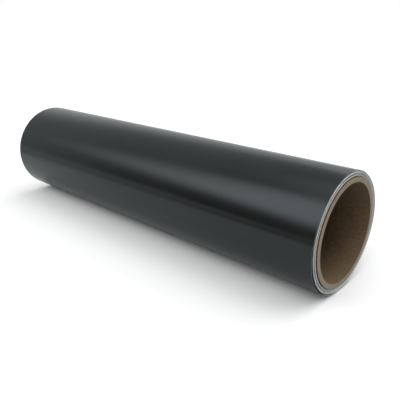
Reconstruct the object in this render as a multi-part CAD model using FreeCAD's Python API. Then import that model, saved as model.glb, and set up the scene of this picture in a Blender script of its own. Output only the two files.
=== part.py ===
import FreeCAD, Part
import math
import os

# A roll of self-adhesive sign vinyl: a coloured film with its release liner, wound on a paper
# core.  Millimetres.  The origin is the centre of the bore at mid length, +X runs along the
# roll to the end that is drawn open, and +Z is up.  Angles are measured about +X from +Y
# towards +Z, and the winding grows outwards in that direction.

# Sizes that drive the roll
ROLL_WIDTH = 305.0
WEB_LENGTH = 5000.0
CORE_BORE_R = 30.4
CORE_OUTER_R = 33.5
PLY_COUNT = 8
STRIP_LEAD = 118.0
SEAM_GAP = 0.25
WOUND_R = 36.9

# The two layers of the web and the tape that starts it
FILM_THICK = 0.080
LINER_THICK = 0.065
TAPE_THICK = 0.090
TAPE_WIDTH = 25.0
TAPE_BED = 0.10

# Where the last turn leaves the roll for good, where it bends, and where it ends, in degrees
LEAVE_DEG = 195.0
BEND_DEG = [225.0, 241.0, 257.0, 273.0]
TAIL_END_DEG = 288.0
BEND_GAP = 0.02
WOUND_ARC_DEG = 45.0
SLACK_ARC_DEG = 6.0

# The outer turn is slack: how far it stands off the turn below it, in millimetres at an angle
# in degrees.  It bellies out on one side, lies close over the top, and lifts again to its end.
STAND_OFF = [
    (-40.0, 0.0),
    (2.0, 1.10),
    (62.0, 0.05),
    (130.0, 0.05),
    (212.0, 0.95),
    (262.0, 0.35),
    (TAIL_END_DEG, 1.20),
]

X_AXIS = FreeCAD.Vector(1, 0, 0)
ORIGIN = FreeCAD.Vector(0, 0, 0)


def loose_length():
    """Length of the web between the place where it leaves the roll and its free end."""
    return math.radians(TAIL_END_DEG - LEAVE_DEG) * (WOUND_R + 0.7)


# The web's own length and the room it fills set the pitch of the spiral and the turns
WEB_START_R = CORE_OUTER_R + TAPE_BED
RING_AREA = math.pi * (WOUND_R**2 - WEB_START_R**2)
PITCH = RING_AREA / (WEB_LENGTH - loose_length())
TURNS = (WOUND_R - WEB_START_R) / PITCH
START_DEG = LEAVE_DEG - 360.0 * TURNS
AIR = (PITCH - FILM_THICK - LINER_THICK) / 2


def stand_off(deg):
    """Gap under the loose turn at an angle: eased from one stated place to the next."""
    for (a0, g0), (a1, g1) in zip(STAND_OFF, STAND_OFF[1:]):
        if a0 <= deg <= a1:
            ease = (1 - math.cos(math.pi * (deg - a0) / (a1 - a0))) / 2
            return g0 + (g1 - g0) * ease
    return 0.0


def web_radius(deg):
    """Radius of the web's inner face: an even spiral, and a looser last turn."""
    return WEB_START_R + PITCH * (deg - START_DEG) / 360.0 + stand_off(deg)


def at(radius, deg):
    """The point at a radius and an angle, in the plane of the roll's far end."""
    a = math.radians(deg)
    return FreeCAD.Vector(-ROLL_WIDTH / 2, radius * math.cos(a), radius * math.sin(a))


def angles(start, end):
    """Arc ends along a stretch: on one coarse grid in the tight turns, a finer one in the slack turn."""
    slack_from = LEAVE_DEG - 360.0
    stops = [start]
    while stops[-1] < end - 1e-6:
        arc = SLACK_ARC_DEG if stops[-1] >= slack_from - 1e-6 else WOUND_ARC_DEG
        cell = math.floor((stops[-1] - slack_from) / arc + 1e-6)
        stops.append(min(slack_from + (cell + 1) * arc, end))
    return stops


def face_arcs(start, end, lift):
    """Arcs that follow the winding at a height above the web's inner face."""
    stops = angles(start, end)
    arcs = []
    for a, b in zip(stops, stops[1:]):
        points = [at(web_radius(d) + lift, d) for d in (a, (a + b) / 2, b)]
        arcs.append(Part.Arc(points[0], points[1], points[2]).toShape())
    return arcs


def layer(start, end, low, high):
    """One layer of the web from one angle to another, as wide as the roll."""
    under = face_arcs(start, end, low)
    over = face_arcs(start, end, high)
    first = Part.makeLine(at(web_radius(start) + low, start), at(web_radius(start) + high, start))
    last = Part.makeLine(at(web_radius(end) + low, end), at(web_radius(end) + high, end))
    wire = Part.Wire(Part.__sortEdges__(under + [last] + over + [first]))
    return Part.Face(wire).extrude(X_AXIS * ROLL_WIDTH)


def film(start, end):
    """Coloured film: the outer layer of the web."""
    low = LINER_THICK + AIR
    return layer(start, end, low, low + FILM_THICK)


def liner(start, end):
    """Release liner: the inner layer of the web, against the film's adhesive."""
    return layer(start, end, 0.0, LINER_THICK)


def tube(inner, outer):
    """A plain tube as long as the roll is wide."""
    base = FreeCAD.Vector(-ROLL_WIDTH / 2, 0, 0)
    wall = Part.makeCylinder(outer, ROLL_WIDTH, base, X_AXIS)
    return wall.cut(Part.makeCylinder(inner, ROLL_WIDTH, base, X_AXIS))


def seam_cutter(inner, outer, turn):
    """A thin helical blade: the butt seam between the edges of a spirally wound strip."""
    reach = 0.2
    low, high = inner - reach, outer + reach
    start = -ROLL_WIDTH / 2 - STRIP_LEAD
    helix = Part.makeHelix(STRIP_LEAD, ROLL_WIDTH + 2 * STRIP_LEAD, (inner + outer) / 2)
    helix.translate(FreeCAD.Vector(0, 0, start))
    corners = [(low, -1), (high, -1), (high, 1), (low, 1), (low, -1)]
    section = [FreeCAD.Vector(r, 0, start + side * SEAM_GAP / 2) for r, side in corners]
    blade = Part.Wire(helix.Edges).makePipeShell([Part.makePolygon(section)], True, True)
    blade.rotate(ORIGIN, FreeCAD.Vector(0, 1, 0), 90)
    blade.rotate(ORIGIN, X_AXIS, turn)
    return blade


def core_ply(index):
    """One ply of the paper core: a strip wound as a helix, its edges meeting at a seam."""
    step = (CORE_OUTER_R - CORE_BORE_R) / PLY_COUNT
    inner = CORE_BORE_R + index * step
    outer = inner + step
    return tube(inner, outer).cut(seam_cutter(inner, outer, 150.0 * index))


def starter_tape():
    """Double-sided tape along the core, under the first edge of the web."""
    half = math.degrees(TAPE_WIDTH / 2 / CORE_OUTER_R)
    inner = CORE_OUTER_R
    outer = CORE_OUTER_R + TAPE_THICK
    stops = (START_DEG - half, START_DEG, START_DEG + half)
    under = Part.Arc(*[at(inner, d) for d in stops]).toShape()
    over = Part.Arc(*[at(outer, d) for d in stops]).toShape()
    first = Part.makeLine(at(inner, stops[0]), at(outer, stops[0]))
    last = Part.makeLine(at(inner, stops[2]), at(outer, stops[2]))
    wire = Part.Wire(Part.__sortEdges__([under, last, over, first]))
    return Part.Face(wire).extrude(X_AXIS * ROLL_WIDTH)


def tail_spans():
    """The stretches of the loose tail between its bend lines, with a hair's gap at each."""
    half = math.degrees(BEND_GAP / 2 / WOUND_R)
    stops = BEND_DEG + [TAIL_END_DEG + half]
    return [(a + half, b - half) for a, b in zip(stops, stops[1:])]


nodes = {}
for i in range(PLY_COUNT):
    nodes["core_ply_%d" % (i + 1)] = core_ply(i)
nodes["starter_tape"] = starter_tape()

# The film that the tail's last turn lies on is a node of its own, because it is what the roll
# is handled by; the turns under it are sealed in.
first_bend = BEND_DEG[0] - math.degrees(BEND_GAP / 2 / WOUND_R)
nodes["wound_liner"] = liner(START_DEG, first_bend)
nodes["wound_film"] = film(START_DEG, LEAVE_DEG - 360.0)
nodes["outer_turn_film"] = film(LEAVE_DEG - 360.0, first_bend)

for i, (start, end) in enumerate(tail_spans()):
    nodes["tail_liner_%d" % (i + 1)] = liner(start, end)
    nodes["tail_film_%d" % (i + 1)] = film(start, end)

os.makedirs("parts", exist_ok=True)
for name, shape in nodes.items():
    shape.exportStep("parts/%s.step" % name)
    print("%-14s valid %s  solids %d  volume %.1f" % (
        name, shape.isValid(), len(shape.Solids), shape.Volume))

print("pitch %.5f  turns %.3f  air %.5f" % (PITCH, TURNS, AIR))
for deg in BEND_DEG:
    outer = web_radius(deg) + LINER_THICK + AIR + FILM_THICK
    hinge = at(outer, deg)
    print("bend at %.0f deg  y %.4f  z %.4f" % (deg, hinge.y, hinge.z))
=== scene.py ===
import math

import bpy
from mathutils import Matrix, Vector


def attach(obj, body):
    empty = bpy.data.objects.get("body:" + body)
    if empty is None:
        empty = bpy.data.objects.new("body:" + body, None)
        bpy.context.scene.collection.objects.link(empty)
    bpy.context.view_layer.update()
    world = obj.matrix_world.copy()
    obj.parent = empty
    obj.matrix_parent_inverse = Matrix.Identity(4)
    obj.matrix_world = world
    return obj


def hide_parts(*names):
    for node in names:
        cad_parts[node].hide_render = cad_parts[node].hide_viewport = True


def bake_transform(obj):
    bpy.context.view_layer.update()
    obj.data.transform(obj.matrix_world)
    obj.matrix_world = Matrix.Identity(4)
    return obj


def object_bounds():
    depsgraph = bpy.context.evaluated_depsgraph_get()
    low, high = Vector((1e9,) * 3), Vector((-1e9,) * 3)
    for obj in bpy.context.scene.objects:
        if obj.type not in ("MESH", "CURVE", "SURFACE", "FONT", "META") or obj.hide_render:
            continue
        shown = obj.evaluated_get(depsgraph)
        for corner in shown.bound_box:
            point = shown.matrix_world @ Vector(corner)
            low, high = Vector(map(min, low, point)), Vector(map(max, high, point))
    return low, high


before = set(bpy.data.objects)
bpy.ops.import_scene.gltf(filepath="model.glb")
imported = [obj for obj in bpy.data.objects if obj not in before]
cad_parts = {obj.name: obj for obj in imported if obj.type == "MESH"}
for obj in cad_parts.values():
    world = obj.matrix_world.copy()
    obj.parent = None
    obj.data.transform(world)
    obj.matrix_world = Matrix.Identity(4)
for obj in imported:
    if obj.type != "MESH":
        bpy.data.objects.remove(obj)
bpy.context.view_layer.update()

# ---------------------------------------------------------------------------
# Paper core.  Eight strips of brown core board, each wound as a helix on a mandrel and glued to
# the strip under it, its two edges meeting at a butt seam.  The tube is cut square to length,
# so each ply shows as a thin ring at the ends and the innermost strip's seam runs up the bore.
# ---------------------------------------------------------------------------

MM = 0.001
ROLL_WIDTH = 305.0 * MM
BORE_RADIUS = 30.4 * MM
CORE_RADIUS = 33.5 * MM
PLIES = 8
PLY_WALL = (CORE_RADIUS - BORE_RADIUS) / PLIES
STRIP_LEAD = 118.0 * MM
SEAM_GAP = 0.25 * MM
SEAM_STEP = 150.0
TONE_SPREAD = 0.10
BORE_PLY_CUTS = (145, 161)
HIDDEN_PLY_CUTS = (97, 65)

# A wound strip is a box with many cuts along it, curled round the X axis: its first side runs
# round the roll, its second along it, and its third is its thickness.
STRIP_INPUTS = (
    ("Start angle", "NodeSocketFloat"),
    ("End angle", "NodeSocketFloat"),
    ("Start radius", "NodeSocketFloat"),
    ("Growth per turn", "NodeSocketFloat"),
    ("Thickness", "NodeSocketFloat"),
    ("Length", "NodeSocketFloat"),
    ("Twist per metre", "NodeSocketFloat"),
    ("Cuts round", "NodeSocketInt"),
    ("Cuts along", "NodeSocketInt"),
    ("Material", "NodeSocketMaterial"),
)


def node(tree, kind, *inputs, **settings):
    """Adds a node, sets its options, and links or sets its inputs in order; None skips one."""
    made = tree.nodes.new(kind)
    for key, value in settings.items():
        setattr(made, key, value)
    for socket, value in zip(made.inputs, inputs):
        if value is None:
            continue
        if isinstance(value, bpy.types.NodeSocket):
            tree.links.new(value, socket)
        else:
            socket.default_value = value
    return made


def maths(tree, operation, *inputs):
    """The result of one sum in a node tree."""
    return node(tree, "ShaderNodeMath", *inputs, operation=operation).outputs[0]


def between(tree, value, low, high, out_low=0.0, out_high=1.0, smooth=False):
    """The value carried from one range to another, eased if asked, and held at the ends."""
    made = tree.nodes.new("ShaderNodeMapRange")
    made.interpolation_type = "SMOOTHSTEP" if smooth else "LINEAR"
    for name, item in (("Value", value), ("From Min", low), ("From Max", high),
                       ("To Min", out_low), ("To Max", out_high)):
        if isinstance(item, bpy.types.NodeSocket):
            tree.links.new(item, made.inputs[name])
        else:
            made.inputs[name].default_value = item
    return made.outputs["Result"]


def square_end(tree, given, angle, side):
    """A strip's far end (side -0.5) or open end (side 0.5), cut square to its length."""
    return maths(tree, "MULTIPLY", given["Length"], side)


def wound_tree(name, inputs, strip_end=square_end, stand_off=None):
    """Geometry Nodes that curl a flat strip into a helix, a spiral, or a part of either."""
    tree = bpy.data.node_groups.new(name, "GeometryNodeTree")
    for item, kind in inputs:
        tree.interface.new_socket(name=item, in_out="INPUT", socket_type=kind)
    tree.interface.new_socket(name="Strip", in_out="OUTPUT", socket_type="NodeSocketGeometry")
    given = tree.nodes.new("NodeGroupInput").outputs
    box = tree.nodes.new("GeometryNodeMeshCube")
    box.inputs["Size"].default_value = (1, 1, 1)
    tree.links.new(given["Cuts round"], box.inputs["Vertices X"])
    tree.links.new(given["Cuts along"], box.inputs["Vertices Y"])
    place = node(tree, "ShaderNodeSeparateXYZ", tree.nodes.new("GeometryNodeInputPosition").outputs[0])
    round_share, along_share, depth_share = [maths(tree, "ADD", side, 0.5) for side in place.outputs]

    span = maths(tree, "SUBTRACT", given["End angle"], given["Start angle"])
    turned = maths(tree, "MULTIPLY", span, round_share)
    angle = maths(tree, "ADD", given["Start angle"], turned)
    far_end = strip_end(tree, given, angle, -0.5)
    open_end = strip_end(tree, given, angle, 0.5)
    x = maths(tree, "MULTIPLY_ADD", along_share, maths(tree, "SUBTRACT", open_end, far_end), far_end)
    swung = maths(tree, "MULTIPLY_ADD", x, given["Twist per metre"], angle)
    turns = maths(tree, "DIVIDE", turned, math.tau)
    radius = maths(tree, "MULTIPLY_ADD", turns, given["Growth per turn"], given["Start radius"])
    radius = maths(tree, "MULTIPLY_ADD", depth_share, given["Thickness"], radius)
    if stand_off:
        radius = maths(tree, "ADD", radius, stand_off(tree, given, angle, x))
    y = maths(tree, "MULTIPLY", radius, maths(tree, "COSINE", swung))
    z = maths(tree, "MULTIPLY", radius, maths(tree, "SINE", swung))
    curled = node(tree, "GeometryNodeSetPosition", box.outputs["Mesh"], None,
                  node(tree, "ShaderNodeCombineXYZ", x, y, z).outputs[0])

    # The place on the flat strip, in metres, goes with each point: along the strip, across it,
    # and 0 to 1 from its inner face to its outer face.
    flat = node(tree, "ShaderNodeCombineXYZ", maths(tree, "MULTIPLY", angle, CORE_RADIUS),
                x, depth_share)
    stored = node(tree, "GeometryNodeStoreNamedAttribute", curled.outputs[0],
                  data_type="FLOAT_VECTOR", domain="POINT")
    stored.inputs["Name"].default_value = "strip"
    tree.links.new(flat.outputs[0], stored.inputs["Value"])
    whole = node(tree, "GeometryNodeRealizeInstances", stored.outputs[0])
    made = node(tree, "GeometryNodeSetMaterial", whole.outputs[0], None, given["Material"])
    node(tree, "NodeGroupOutput", made.outputs[0])
    return tree


def strip_piece(name, tree, sizes, material):
    """A plain mesh made by a winding tree from these sizes."""
    mesh = bpy.data.meshes.new(name)
    maker = bpy.data.objects.new(name + "_maker", mesh)
    bpy.context.scene.collection.objects.link(maker)
    curl = maker.modifiers.new("curl", "NODES")
    curl.node_group = tree
    values = dict(sizes, Material=material)
    for item in tree.interface.items_tree:
        if item.in_out == "INPUT":
            curl[item.identifier] = values.get(item.name, 0.0)
    bpy.context.view_layer.update()
    seen = maker.evaluated_get(bpy.context.evaluated_depsgraph_get())
    finished = bpy.data.meshes.new_from_object(seen)
    finished.name = name
    piece = bpy.data.objects.new(name, finished)
    bpy.context.scene.collection.objects.link(piece)
    bpy.data.objects.remove(maker)
    bpy.data.meshes.remove(mesh)
    finished.polygons.foreach_set("use_smooth", [True] * len(finished.polygons))
    finished.set_sharp_from_angle(angle=math.radians(35))
    return piece


def new_material(name):
    """An empty node material, with its tree and its shader."""
    material = bpy.data.materials.new(name)
    material.use_nodes = True
    tree = material.node_tree
    return material, tree, tree.nodes["Principled BSDF"]


def strip_place(tree):
    """The place on the flat strip, as the winding tree left it."""
    stored = tree.nodes.new("ShaderNodeAttribute")
    stored.attribute_name = "strip"
    return stored.outputs["Vector"]


def scaled(tree, vector, x, y, z):
    """A vector with each part multiplied, to stretch a pattern along or across the strip."""
    return node(tree, "ShaderNodeVectorMath", vector, (x, y, z), operation="MULTIPLY").outputs[0]


def noise(tree, vector, scale, detail=3.0, roughness=0.5):
    """A noise pattern: scale is in cells to the metre."""
    made = tree.nodes.new("ShaderNodeTexNoise")
    tree.links.new(vector, made.inputs["Vector"])
    made.inputs["Scale"].default_value = scale
    made.inputs["Detail"].default_value = detail
    made.inputs["Roughness"].default_value = roughness
    return made.outputs["Fac"]


def blend_colours(tree, share, first, second):
    """One colour where the share is 0 and the other where it is 1."""
    made = tree.nodes.new("ShaderNodeMix")
    made.data_type = "RGBA"
    for socket, value in ((made.inputs[0], share), (made.inputs[6], first), (made.inputs[7], second)):
        if isinstance(value, bpy.types.NodeSocket):
            tree.links.new(value, socket)
        else:
            socket.default_value = value if not isinstance(value, tuple) else (*value, 1)
    return made.outputs[2]


def bumped(tree, shader, height, depth, strength=1.0):
    """Feeds a height pattern to the shader's normal; depth is in metres."""
    bump = tree.nodes.new("ShaderNodeBump")
    bump.inputs["Strength"].default_value = strength
    bump.inputs["Distance"].default_value = depth
    tree.links.new(height, bump.inputs["Height"])
    tree.links.new(bump.outputs[0], shader.inputs["Normal"])


def fibre_group():
    """Paper fibres and clouding, for board, liner and tape: a fine mask and a broad one."""
    tree = bpy.data.node_groups.new("paper fibre", "ShaderNodeTree")
    tree.interface.new_socket(name="Place", in_out="INPUT", socket_type="NodeSocketVector")
    tree.interface.new_socket(name="Fibre", in_out="OUTPUT", socket_type="NodeSocketFloat")
    tree.interface.new_socket(name="Cloud", in_out="OUTPUT", socket_type="NodeSocketFloat")
    place = tree.nodes.new("NodeGroupInput").outputs["Place"]
    fibre = noise(tree, scaled(tree, place, 1.0, 5.0, 1.0), 420.0, 5.0, 0.65)
    cloud = noise(tree, place, 38.0, 3.0, 0.5)
    out = tree.nodes.new("NodeGroupOutput")
    tree.links.new(fibre, out.inputs["Fibre"])
    tree.links.new(cloud, out.inputs["Cloud"])
    return tree


paper_fibre = fibre_group()


def paper(tree, place):
    """The fibre and cloud masks of a paper at a place."""
    made = tree.nodes.new("ShaderNodeGroup")
    made.node_tree = paper_fibre
    tree.links.new(place, made.inputs["Place"])
    return made.outputs["Fibre"], made.outputs["Cloud"]


def cut_edge(tree):
    """1 on the faces cut square across the roll's width, 0 on the long faces."""
    facing = tree.nodes.new("ShaderNodeNewGeometry").outputs["True Normal"]
    sideways = node(tree, "ShaderNodeSeparateXYZ", facing).outputs[0]
    return maths(tree, "GREATER_THAN", maths(tree, "ABSOLUTE", sideways), 0.7)


def board_material(name, tone):
    """Brown core board: fibres and clouding, and a paler, fuzzier cut end; the darker brown of its
    long faces, the bore's wall among them, is partly the board's own and partly painted shade.
    """
    material, tree, shader = new_material(name)
    place = tree.nodes.new("ShaderNodeTexCoord").outputs["Object"]
    fibre, cloud = paper(tree, place)
    share = maths(tree, "MULTIPLY", cloud, 0.45)
    share = maths(tree, "MULTIPLY_ADD", between(tree, fibre, 0.3, 0.7), 0.55, share)
    # The long faces, the bore's wall among them, take the darker brown: the board's own colour
    # darkened with painted shade for the dim bore. The cut end keeps the paler brown.
    wall = blend_colours(tree, share, (0.085 * tone, 0.053 * tone, 0.028 * tone),
                         (0.225 * tone, 0.148 * tone, 0.084 * tone))
    cut = blend_colours(tree, share, (0.23 * tone, 0.17 * tone, 0.115 * tone),
                        (0.40 * tone, 0.315 * tone, 0.23 * tone))
    tree.links.new(blend_colours(tree, cut_edge(tree), wall, cut), shader.inputs["Base Color"])
    shader.inputs["Roughness"].default_value = 0.85
    shader.inputs["Specular IOR Level"].default_value = 0.25
    bumped(tree, shader, fibre, 0.00008, 0.6)
    return material


wound_strip = wound_tree("wound strip", STRIP_INPUTS)

# Each strip comes from its own reel of board, a little lighter or darker than the next, and its
# seam starts at its own angle.  The bore's strip is cut finer, since its seam is seen.
for index in range(PLIES):
    tone = 1.0 + TONE_SPREAD * math.sin(2.4 * index + 0.7)
    board = board_material("core board %d" % (index + 1), tone)
    inner = BORE_RADIUS + index * PLY_WALL
    seam = SEAM_GAP / (inner + PLY_WALL / 2)
    seam_angle = math.radians(SEAM_STEP * index)
    cuts_round, cuts_along = BORE_PLY_CUTS if index == 0 else HIDDEN_PLY_CUTS
    ply = strip_piece("core_ply_%d_board" % (index + 1), wound_strip, {
        "Start angle": seam_angle + seam / 2,
        "End angle": seam_angle + math.tau - seam / 2,
        "Start radius": inner,
        "Thickness": PLY_WALL,
        "Length": ROLL_WIDTH,
        "Twist per metre": math.tau / STRIP_LEAD,
        "Cuts round": cuts_round,
        "Cuts along": cuts_along,
    }, board)
    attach(ply, "roll")
    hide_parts("core_ply_%d" % (index + 1))

# ---------------------------------------------------------------------------
# Starter tape.  A strip of double-sided crepe paper tape nearly as long as the core, which
# holds the first edge of the web square to the core before winding starts.  It lies under the
# first turn.
# ---------------------------------------------------------------------------

TAPE_WIDTH = 25.0 * MM
TAPE_WALL = 0.09 * MM
TAPE_BED = 0.10 * MM
TAPE_LENGTH = 303.0 * MM

# The web's length and the room that it fills give its pitch and its turns, and so the place
# where its first edge is taped down.
WEB_LENGTH = 5000.0 * MM
WOUND_RADIUS = 36.9 * MM
LEAVE_ANGLE = 195.0
TAIL_END_ANGLE = 288.0
TAIL_LIFT = 0.7 * MM

web_start_radius = CORE_RADIUS + TAPE_BED
loose_length = math.radians(TAIL_END_ANGLE - LEAVE_ANGLE) * (WOUND_RADIUS + TAIL_LIFT)
web_pitch = math.pi * (WOUND_RADIUS**2 - web_start_radius**2) / (WEB_LENGTH - loose_length)
web_turns = (WOUND_RADIUS - web_start_radius) / web_pitch
web_start_angle = LEAVE_ANGLE - 360.0 * web_turns


def tape_material():
    """Cream crepe paper tape with fine cross wrinkles."""
    material, tree, shader = new_material("double-sided tape")
    strip = strip_place(tree)
    fibre, _ = paper(tree, strip)
    wrinkle = noise(tree, scaled(tree, strip, 6.0, 0.6, 0.0), 300.0, 3.0)
    share = maths(tree, "MULTIPLY_ADD", fibre, 0.5, maths(tree, "MULTIPLY", wrinkle, 0.5))
    colour = blend_colours(tree, share, (0.52, 0.47, 0.35), (0.68, 0.63, 0.50))
    tree.links.new(colour, shader.inputs["Base Color"])
    shader.inputs["Roughness"].default_value = 0.7
    bumped(tree, shader, wrinkle, 0.00003, 0.5)
    return material


tape_half = TAPE_WIDTH / 2 / CORE_RADIUS
tape = strip_piece("starter_tape_strip", wound_strip, {
    "Start angle": math.radians(web_start_angle) - tape_half,
    "End angle": math.radians(web_start_angle) + tape_half,
    "Start radius": CORE_RADIUS,
    "Thickness": TAPE_WALL,
    "Length": TAPE_LENGTH,
    "Cuts round": 24,
    "Cuts along": 40,
}, tape_material())
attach(tape, "roll")
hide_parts("starter_tape")

# ---------------------------------------------------------------------------
# The web, wound.  Calendered charcoal vinyl film, satin-gloss outside and coated with adhesive
# inside, on a pale release paper.  Both are one continuous length, slit to width together and
# wound film outwards, so the roll's ends show fine dark and pale lines that step in and out.
# ---------------------------------------------------------------------------

FILM_WALL = 0.080 * MM
LINER_WALL = 0.065 * MM
ADHESIVE_GAP = (web_pitch - FILM_WALL - LINER_WALL) / 2
OUTER_TURN_START = LEAVE_ANGLE - 360.0
LAST_WOUND_ANGLE = 217.0
WEB_CUTS_PER_TURN = 144
INNER_CUTS_ALONG = 4
OUTER_CUTS_ALONG = 31
DRAPE_DEPTH = 3.5 * MM
GRAIN_SHARE = 0.0006
WEB_INPUTS = STRIP_INPUTS + (
    ("Set back", "NodeSocketFloat"),
    ("Band depth", "NodeSocketFloat"),
    ("Paper lead", "NodeSocketFloat"),
    ("Dog ear", "NodeSocketFloat"),
)

# The outer turn is slack: each row is the angle where its gap to the turn below starts to
# change, the angle where it stops, and the change.
SLACK_TURN = (
    (-40.0, 2.0, 1.10 * MM),
    (2.0, 62.0, -1.05 * MM),
    (130.0, 212.0, 0.90 * MM),
    (212.0, 262.0, -0.60 * MM),
    (262.0, TAIL_END_ANGLE, 0.85 * MM),
)

# The web's last corner is dog-eared: where it starts and is fully turned, round and along.
DOG_EAR = 0.36 * MM
DOG_EAR_ANGLES = (math.radians(274.0), math.radians(TAIL_END_ANGLE))
DOG_EAR_ALONG = (110.0 * MM, 152.0 * MM)

# The web ends short of the core, in bands that come again every so many turns.  They drift
# inwards by a few turns on one side of the roll, and are palest low on another.
WEB_SET_BACK = 0.55 * MM
BAND_DEPTH = 0.45 * MM
BAND_TURNS = 11.5
BAND_EDGE = 0.8
DRIFT_TURNS = 3.4
DRIFT_SIDE = 170.0
UNEVEN_PER_TURN = 2.3
UNEVEN_SHARE = 0.5
FAR_END_FIRST_PALE = 7.0
OPEN_END_FIRST_PALE = 4.0
PALE_SIDE = 292.0
PALE_SIDE_EDGES = (0.5, 0.87)

# How far the paper stands out past the film: in a dark band, how much more in a pale band, and
# how much more again on the palest side.
DARK_LEAD = -0.02 * MM
PALE_LEAD = 0.14 * MM
PALE_SIDE_LEAD = 0.10 * MM


def toward_side(tree, angle, degrees):
    """1 on one side of the roll, falling to -1 on the other."""
    return maths(tree, "COSINE", maths(tree, "SUBTRACT", angle, math.radians(degrees)))


def web_end(tree, given, angle, side):
    """The web's far end (side -0.5) or open end (side 0.5), stepping in and out in bands."""
    turn = maths(tree, "DIVIDE", angle, math.tau)
    uneven = tree.nodes.new("ShaderNodeTexNoise")
    uneven.noise_dimensions = "1D"
    tree.links.new(turn, uneven.inputs["W"])
    uneven.inputs["Scale"].default_value = UNEVEN_PER_TURN
    first_pale = OPEN_END_FIRST_PALE if side > 0 else FAR_END_FIRST_PALE
    turn = maths(tree, "SUBTRACT", turn, web_start_angle / 360.0 + first_pale)
    drift = toward_side(tree, angle, DRIFT_SIDE)
    turn = maths(tree, "MULTIPLY_ADD", drift, -DRIFT_TURNS, turn)
    wave = maths(tree, "COSINE", maths(tree, "MULTIPLY", turn, math.tau / BAND_TURNS))
    wave = maths(tree, "SUBTRACT", wave, UNEVEN_SHARE / 2)
    wave = maths(tree, "MULTIPLY_ADD", uneven.outputs["Fac"], UNEVEN_SHARE, wave)
    pale = between(tree, wave, -BAND_EDGE, BAND_EDGE, smooth=True)
    palest = between(tree, toward_side(tree, angle, PALE_SIDE), *PALE_SIDE_EDGES, smooth=True)
    lead = maths(tree, "MULTIPLY_ADD", pale, PALE_LEAD, DARK_LEAD)
    lead = maths(tree, "MULTIPLY_ADD", palest, PALE_SIDE_LEAD, lead)
    pulled_in = maths(tree, "SUBTRACT", 1.0, pale)
    short = maths(tree, "MULTIPLY_ADD", pulled_in, given["Band depth"], given["Set back"])
    short = maths(tree, "SUBTRACT", short, maths(tree, "MULTIPLY", lead, given["Paper lead"]))
    return maths(tree, "MULTIPLY_ADD", short, -2 * side, square_end(tree, given, angle, side))


def web_stand_off(tree, given, angle, x):
    """How far the web stands off an even spiral: its slack last turn and its dog ear."""
    ear = maths(tree, "MULTIPLY", given["Dog ear"], between(tree, angle, *DOG_EAR_ANGLES, smooth=True))
    gap = maths(tree, "MULTIPLY", ear, between(tree, x, *DOG_EAR_ALONG, smooth=True))
    for first, last, change in SLACK_TURN:
        eased = between(tree, angle, math.radians(first), math.radians(last), 0, change, True)
        gap = maths(tree, "ADD", gap, eased)
    return gap


wound_web = wound_tree("wound web", WEB_INPUTS, web_end, web_stand_off)


def film_material():
    """Charcoal vinyl: a faint calender grain, soft waviness, and a tacky grey inner face."""
    material, tree, shader = new_material("charcoal vinyl film")
    strip = strip_place(tree)
    _, _, depth = node(tree, "ShaderNodeSeparateXYZ", strip).outputs
    mottle = noise(tree, scaled(tree, strip, 1.0, 1.0, 0.0), 55.0, 3.0)
    face = blend_colours(tree, mottle, (0.0108, 0.0106, 0.0102), (0.0148, 0.0146, 0.0142))
    inside = maths(tree, "LESS_THAN", depth, 0.02)
    colour = blend_colours(tree, inside, face, (0.10, 0.105, 0.105))
    colour = blend_colours(tree, cut_edge(tree), colour, (0.12, 0.125, 0.125))
    tree.links.new(colour, shader.inputs["Base Color"])
    grain = noise(tree, scaled(tree, strip, 1.0, 1.0, 0.0), 1400.0, 2.0)
    drape = noise(tree, scaled(tree, strip, 1.0, 0.40, 0.0), 17.0, 1.0)
    gloss = between(tree, mottle, 0.3, 0.7, 0.15, 0.20)
    tree.links.new(gloss, shader.inputs["Roughness"])
    shader.inputs["IOR"].default_value = 1.47
    shader.inputs["Specular Tint"].default_value = (0.90, 0.97, 1.0, 1)
    height = maths(tree, "MULTIPLY_ADD", grain, GRAIN_SHARE, drape)
    bumped(tree, shader, height, DRAPE_DEPTH)
    return material


def liner_material():
    """Release paper: pale and faintly fibrous, glossier on its silicone-coated outer face."""
    material, tree, shader = new_material("release liner paper")
    strip = strip_place(tree)
    _, _, depth = node(tree, "ShaderNodeSeparateXYZ", strip).outputs
    fibre, cloud = paper(tree, scaled(tree, strip, 1.0, 1.0, 0.0))
    share = maths(tree, "MULTIPLY_ADD", fibre, 0.6, maths(tree, "MULTIPLY", cloud, 0.4))
    colour = blend_colours(tree, share, (0.66, 0.66, 0.64), (0.82, 0.82, 0.80))
    tree.links.new(colour, shader.inputs["Base Color"])
    coated = maths(tree, "GREATER_THAN", depth, 0.98)
    tree.links.new(between(tree, coated, 0.0, 1.0, 0.65, 0.25), shader.inputs["Roughness"])
    bumped(tree, shader, fibre, 0.00002, 0.5)
    return material


charcoal_film = film_material()
liner_paper = liner_material()


def web_piece(name, layer, first, last, cuts_per_turn, cuts_along):
    """A stretch of the film or the liner between two angles of the winding."""
    lift, wall, material = {
        "film": (LINER_WALL + ADHESIVE_GAP, FILM_WALL, charcoal_film),
        "liner": (0.0, LINER_WALL, liner_paper),
    }[layer]
    turns_in = (first - web_start_angle) / 360.0
    piece = strip_piece(name, wound_web, {
        "Start angle": math.radians(first),
        "End angle": math.radians(last),
        "Start radius": web_start_radius + turns_in * web_pitch + lift,
        "Growth per turn": web_pitch,
        "Thickness": wall,
        "Length": ROLL_WIDTH,
        "Set back": WEB_SET_BACK,
        "Band depth": BAND_DEPTH,
        "Paper lead": 1.0 if layer == "liner" else 0.0,
        "Dog ear": DOG_EAR,
        "Cuts round": max(3, round(cuts_per_turn * (last - first) / 360.0)) + 1,
        "Cuts along": cuts_along,
    }, material)
    return piece


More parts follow.
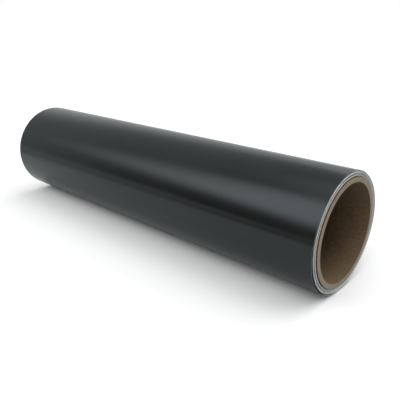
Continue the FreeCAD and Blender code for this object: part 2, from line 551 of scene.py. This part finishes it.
for name, layer, first, last, cuts_along, stands_for in (
    ("liner_wound", "liner", web_start_angle, LAST_WOUND_ANGLE, INNER_CUTS_ALONG, "wound_liner"),
    ("film_wound", "film", web_start_angle, OUTER_TURN_START, INNER_CUTS_ALONG, "wound_film"),
    ("film_outer_turn", "film", OUTER_TURN_START, LAST_WOUND_ANGLE, OUTER_CUTS_ALONG,
     "outer_turn_film"),
):
    piece = web_piece(name, layer, first, last, WEB_CUTS_PER_TURN, cuts_along)
    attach(piece, "roll")
    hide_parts(stands_for)

# ---------------------------------------------------------------------------
# The loose tail.  The last quarter of the outer turn isn't stuck down: the web's own stiffness
# holds it off the roll.  It opens outwards as one springy sheet, bending a little all the way,
# and at its free edge the film can be lifted off the liner.
# ---------------------------------------------------------------------------

BENDS = (225.0, 241.0, 257.0, 273.0)
TAIL_CUTS_PER_TURN = 360

# Each stretch bends all along, and reaches half way to the next bend.  The last bend is tighter:
# it starts at its own angle and ends on its bend line, and the film lifts just past that.
HALF_STEP = 8.0
last_bend = BENDS[3]
last_stretch = BENDS[2] + HALF_STEP


def tail_piece(name, layer, first, last, stands_for=None):
    """A stretch of the tail, curved round the roll between two angles, baked in place."""
    piece = web_piece(name, layer, first, last, TAIL_CUTS_PER_TURN, OUTER_CUTS_ALONG)
    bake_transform(piece)
    if stands_for:
        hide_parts(stands_for)


for layer in ("liner", "film"):
    for number, bend in enumerate(BENDS[:3]):
        first = bend - HALF_STEP
        last = bend + HALF_STEP
        tail_piece("%s_tail_%d" % (layer, number + 1), layer, first, last,
                   "tail_%s_%d" % (layer, number + 1))

# Past the third bend the liner is one piece to its free edge.  The film is two, because it
# follows the liner over the last bend and lifts off it beyond.
tail_piece("liner_tail_4", "liner", last_stretch, TAIL_END_ANGLE,
           "tail_liner_4")
tail_piece("film_over_last_bend", "film", last_stretch, last_bend)
tail_piece("film_tail_4", "film", last_bend, TAIL_END_ANGLE,
           "tail_film_4")

# ---------------------------------------------------------------------------
# Floor, light and camera.  The roll lies on a plain pale sheet.  Past the sheet's edge, on the
# side that the film mirrors, stands a darker table, which is only seen as a reflection.
# ---------------------------------------------------------------------------

FLOOR_HALF = 30.0
FLOOR_COLOUR = (0.98, 0.925, 0.915)

# The pale sheet's edge is square to this heading, at these distances from the roll's middle.
# The table beyond it darkens from one place to another along the roll.
SHEET_EDGE_HEADING = (0.442, 0.897)
SHEET_EDGE = (-0.250, -0.238)
SHEET_MIRRORED = 0.60
TABLE_ALONG = (-0.30, -0.03)
TABLE_MIRRORED = (0.38, 0.02)

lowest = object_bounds()[0].z
corners = [(x * FLOOR_HALF, y * FLOOR_HALF, lowest) for x, y in ((-1, -1), (1, -1), (1, 1), (-1, 1))]
floor_mesh = bpy.data.meshes.new("floor")
floor_mesh.from_pydata(corners, [], [(0, 1, 2, 3)])
floor = bpy.data.objects.new("floor", floor_mesh)
bpy.context.scene.collection.objects.link(floor)


def floor_material():
    """A matt pale floor, with the sheet and the table beyond it in what the film mirrors."""
    material, tree, shader = new_material("pale floor")
    place = tree.nodes.new("ShaderNodeTexCoord").outputs["Object"]
    x, y, _ = node(tree, "ShaderNodeSeparateXYZ", place).outputs
    toward_edge = maths(tree, "MULTIPLY", y, SHEET_EDGE_HEADING[1])
    toward_edge = maths(tree, "MULTIPLY_ADD", x, SHEET_EDGE_HEADING[0], toward_edge)
    beyond = between(tree, toward_edge, *SHEET_EDGE, 1, 0)
    table = between(tree, x, *TABLE_ALONG, *TABLE_MIRRORED)
    step = maths(tree, "SUBTRACT", table, SHEET_MIRRORED)
    mirrored = maths(tree, "MULTIPLY_ADD", beyond, step, SHEET_MIRRORED)
    direct = tree.nodes.new("ShaderNodeLightPath").outputs["Is Camera Ray"]
    tree.links.new(blend_colours(tree, direct, mirrored, FLOOR_COLOUR), shader.inputs["Base Color"])
    shader.inputs["Roughness"].default_value = 0.9
    shader.inputs["Specular IOR Level"].default_value = 0.1
    return material


floor_mesh.materials.append(floor_material())

# The studio's light comes from all round: a plain pale room, a brighter ceiling, a large soft
# box high on the roll's near side with a dark flag under it, pale walls behind the roll and a
# dark flag off its open end.  Past the floor's edge there is plain white.
bpy.context.scene.view_settings.view_transform = "Standard"
world = bpy.data.worlds.new("studio")
bpy.context.scene.world = world
world.use_nodes = True
sky = world.node_tree
toward = sky.nodes.new("ShaderNodeTexCoord").outputs["Generated"]
height = node(sky, "ShaderNodeSeparateXYZ", toward).outputs[2]
level = node(sky, "ShaderNodeVectorMath", toward, (1, 1, 0), operation="MULTIPLY").outputs[0]
heading = node(sky, "ShaderNodeVectorMath", level, operation="NORMALIZE").outputs[0]


def rise(low, high):
    """0 below one elevation and 1 above the other, in degrees."""
    return between(sky, height, math.sin(math.radians(low)), math.sin(math.radians(high)), smooth=True)


def fall(low, high):
    """1 below one elevation and 0 above the other, in degrees."""
    return between(sky, height, math.sin(math.radians(low)), math.sin(math.radians(high)), 1, 0, True)


def side(azimuth, whole, nothing):
    """1 within some degrees of an azimuth, and 0 beyond a wider turn from it."""
    a = math.radians(azimuth)
    middle = (math.cos(a), math.sin(a), 0)
    facing = node(sky, "ShaderNodeVectorMath", heading, middle, operation="DOT_PRODUCT")
    return between(sky, facing.outputs["Value"], math.cos(math.radians(nothing)),
                   math.cos(math.radians(whole)), smooth=True)


def product(first, *shares):
    """Several shares multiplied together."""
    for share in shares:
        first = maths(sky, "MULTIPLY", first, share)
    return first


# Each light is its strength and, for every direction, the share of it that comes from there.
ROOM = 0.42
BACKDROP = 1.0
LIGHT_COLOUR = (0.94, 1.0, 1.015)
FLAG = (-0.42, product(fall(7, 20), side(-108, 18, 44)))
SOFT_BOX = (1.95, product(rise(14, 31), fall(50, 68), side(-105, 24, 54)))
CEILING = (0.75, rise(54, 76))
BACK_WALL = (1.70, product(rise(12, 35), side(62, 35, 62)))
FAR_WALL = (0.25, product(fall(24, 36), side(140, 15, 40)))
END_FLAG = (-0.41, product(fall(30, 45), side(-14, 38, 52)))
FRONT_FILL = (1.60, product(rise(30, 50), side(-66, 14, 30)))
light = ROOM
for strength, share in (FLAG, SOFT_BOX, CEILING, BACK_WALL, FAR_WALL, END_FLAG, FRONT_FILL):
    light = maths(sky, "MULTIPLY_ADD", share, strength, light)
direct = sky.nodes.new("ShaderNodeLightPath").outputs["Is Camera Ray"]
background = sky.nodes["Background"]
sky.links.new(blend_colours(sky, direct, LIGHT_COLOUR, (1, 1, 1)), background.inputs["Color"])
sky.links.new(between(sky, direct, 0, 1, light, BACKDROP), background.inputs["Strength"])

# The camera stands off the open end, turned from the roll's axis and tipped down at it.
CAMERA_PLACE = (0.25566, -0.23759, 0.11312)
CAMERA_TILT = 69.3162
CAMERA_HEADING = 42.4107

camera = bpy.data.cameras.new("camera")
camera.lens = 42.36
camera.sensor_width = 36.0
camera.clip_start = 0.01
camera_object = bpy.data.objects.new("camera", camera)
bpy.context.scene.collection.objects.link(camera_object)
camera_object.location = CAMERA_PLACE
camera_object.rotation_euler = (math.radians(CAMERA_TILT), 0.0, math.radians(CAMERA_HEADING))
bpy.context.scene.camera = camera_object
bpy.context.view_layer.update()
